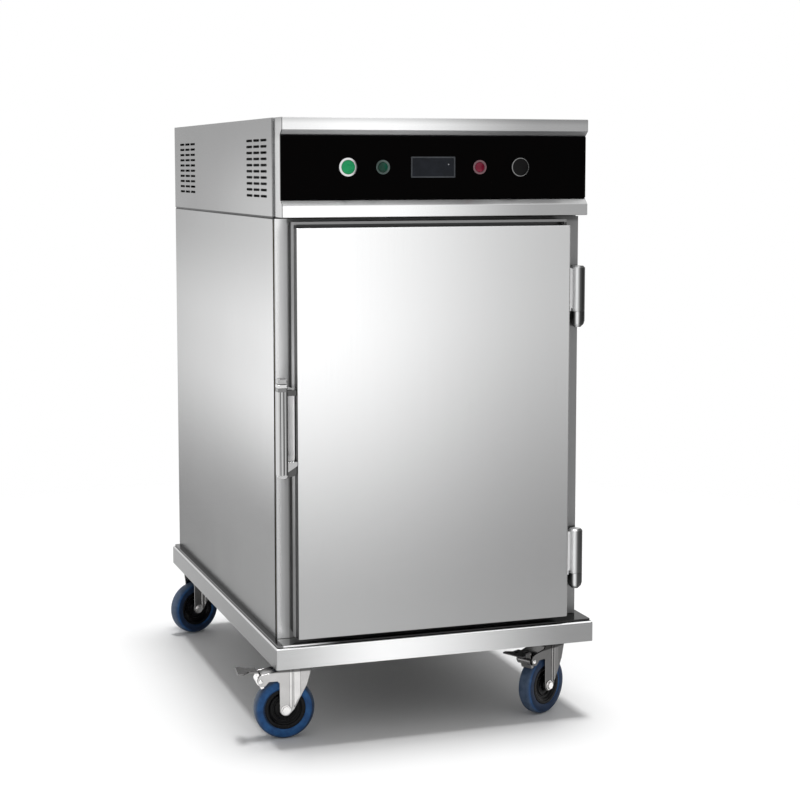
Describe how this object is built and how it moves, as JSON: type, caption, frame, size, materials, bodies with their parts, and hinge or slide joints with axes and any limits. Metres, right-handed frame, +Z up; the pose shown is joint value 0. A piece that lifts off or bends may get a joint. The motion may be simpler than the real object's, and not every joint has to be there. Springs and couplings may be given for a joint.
{
  "type": "food warming cart",
  "caption": "Insulated food warming cart: steel cabinet with a hinged front door, a control housing with vents on top, and a bumper base on swivel casters.",
  "frame": {"origin": "on the floor, under the middle of the cart's footprint", "axes": "+Z up; the door and the controls face -Y; +X is to the right for a person facing the door"},
  "size_m": [0.7498, 1.035, 1.2508],
  "materials": {
    "black_gloss": "gloss",
    "black_nylon": "satin",
    "black_rubber": "matte",
    "blue_rubber": "matte",
    "board_green": "satin",
    "brushed_steel": "satin",
    "chrome": "polished",
    "dark_tube": "satin",
    "green_gloss": "gloss",
    "mineral_wool": "matte",
    "plain_steel": "satin",
    "red_gloss": "gloss",
    "zinc_plate": "satin"
  },
  "bodies": {
    "cabinet": {"back_and_top_panel": "brushed_steel", "base_frame": "brushed_steel", "base_plate": "brushed_steel", "cabinet_insulation": "mineral_wool", "caster_plate_front_left": "zinc_plate", "caster_plate_front_right": "zinc_plate", "caster_plate_rear_left": "zinc_plate", "caster_plate_rear_right": "zinc_plate", "chamber_liner": "plain_steel", "control_board": "board_green", "control_panel": "black_gloss", "display": "black_gloss", "door_strike": "plain_steel", "face_frame": "brushed_steel", "fan_baffle": "plain_steel", "fan_motor": "plain_steel", "fascia": "brushed_steel", "heating_element": "dark_tube", "hinge_frame_lower": "chrome", "hinge_frame_upper": "chrome", "housing_back": "brushed_steel", "housing_cover": "brushed_steel", "pilot_lamp_green": "green_gloss", "pilot_lamp_red": "red_gloss", "power_inlet": "black_nylon", "rack_left": "plain_steel", "rack_right": "plain_steel", "side_panel_left": "brushed_steel", "side_panel_right": "brushed_steel", "start_button_ring": "chrome", "stop_button_ring": "chrome", "water_pan": "plain_steel"},
    "swivel_front_left": {"caster_fork_front_left": "zinc_plate", "wheel_axle_front_left": "zinc_plate"},
    "wheel_front_left": {"wheel_hub_front_left": "black_nylon", "wheel_tyre_front_left": "blue_rubber"},
    "brake_front_left": {"brake_pedal_front_left": "zinc_plate"},
    "swivel_front_right": {"caster_fork_front_right": "zinc_plate", "wheel_axle_front_right": "zinc_plate"},
    "wheel_front_right": {"wheel_hub_front_right": "black_nylon", "wheel_tyre_front_right": "blue_rubber"},
    "brake_front_right": {"brake_pedal_front_right": "zinc_plate"},
    "swivel_rear_left": {"caster_fork_rear_left": "zinc_plate", "wheel_axle_rear_left": "zinc_plate"},
    "wheel_rear_left": {"wheel_hub_rear_left": "black_nylon", "wheel_tyre_rear_left": "blue_rubber"},
    "swivel_rear_right": {"caster_fork_rear_right": "zinc_plate", "wheel_axle_rear_right": "zinc_plate"},
    "wheel_rear_right": {"wheel_hub_rear_right": "black_nylon", "wheel_tyre_rear_right": "blue_rubber"},
    "door": {"door_outer_panel": "brushed_steel", "door_inner_panel": "plain_steel", "door_insulation": "mineral_wool", "door_gasket": "black_rubber", "door_handle": "chrome", "hinge_door_upper": "chrome", "hinge_door_lower": "chrome"},
    "start_button": {"start_button": "green_gloss"},
    "stop_button": {"stop_button": "black_nylon"},
    "fan": {"fan_impeller": "plain_steel"}
  },
  "joints": [
    {"name": "swivel_front_left", "type": "hinge", "parent": "cabinet", "child": "swivel_front_left", "pos_m": [-0.24706, -0.4185, 0.1497], "axis": [0, 0, 1], "continuous": true},
    {"name": "wheel_front_left", "type": "hinge", "parent": "swivel_front_left", "child": "wheel_front_left", "pos_m": [-0.27499, -0.41655, 0.06211], "axis": [-0.0698, -0.9976, 0], "continuous": true},
    {"name": "brake_front_left", "type": "hinge", "parent": "swivel_front_left", "child": "brake_front_left", "pos_m": [-0.32617, -0.41297, 0.12311], "axis": [-0.0698, -0.9976, 0], "range_deg": [0, 22]},
    {"name": "swivel_front_right", "type": "hinge", "parent": "cabinet", "child": "swivel_front_right", "pos_m": [0.30994, -0.4185, 0.1497], "axis": [0, 0, 1], "continuous": true},
    {"name": "wheel_front_right", "type": "hinge", "parent": "swivel_front_right", "child": "wheel_front_right", "pos_m": [0.28545, -0.43207, 0.06211], "axis": [0.4848, -0.8746, 0], "continuous": true},
    {"name": "brake_front_right", "type": "hinge", "parent": "swivel_front_right", "child": "brake_front_right", "pos_m": [0.24058, -0.45694, 0.12311], "axis": [0.4848, -0.8746, 0], "range_deg": [0, 22]},
    {"name": "swivel_rear_left", "type": "hinge", "parent": "cabinet", "child": "swivel_rear_left", "pos_m": [-0.24706, 0.4575, 0.1497], "axis": [0, 0, 1], "continuous": true},
    {"name": "wheel_rear_left", "type": "hinge", "parent": "swivel_rear_left", "child": "wheel_rear_left", "pos_m": [-0.27337, 0.44792, 0.06211], "axis": [0.342, -0.9397, 0], "continuous": true},
    {"name": "swivel_rear_right", "type": "hinge", "parent": "cabinet", "child": "swivel_rear_right", "pos_m": [0.30994, 0.4575, 0.1497], "axis": [0, 0, 1], "continuous": true},
    {"name": "wheel_rear_right", "type": "hinge", "parent": "swivel_rear_right", "child": "wheel_rear_right", "pos_m": [0.28277, 0.45073, 0.06211], "axis": [0.2419, -0.9703, 0], "continuous": true},
    {"name": "door", "type": "hinge", "parent": "cabinet", "child": "door", "pos_m": [0.34344, -0.4725, 0.62915], "axis": [0, 0, 1], "range_deg": [0, 180]},
    {"name": "start_button", "type": "slide", "parent": "cabinet", "child": "start_button", "axis": [0, 1, 0], "range_m": [0, 0.002], "stiffness_N_per_m": 900, "springref_m": -0.002},
    {"name": "stop_button", "type": "slide", "parent": "cabinet", "child": "stop_button", "axis": [0, 1, 0], "range_m": [0, 0.002], "stiffness_N_per_m": 900, "springref_m": -0.002},
    {"name": "fan", "type": "hinge", "parent": "cabinet", "child": "fan", "pos_m": [0.02274, -0.0005, 1.0213], "axis": [0, 0, 1], "continuous": true}
  ]
}
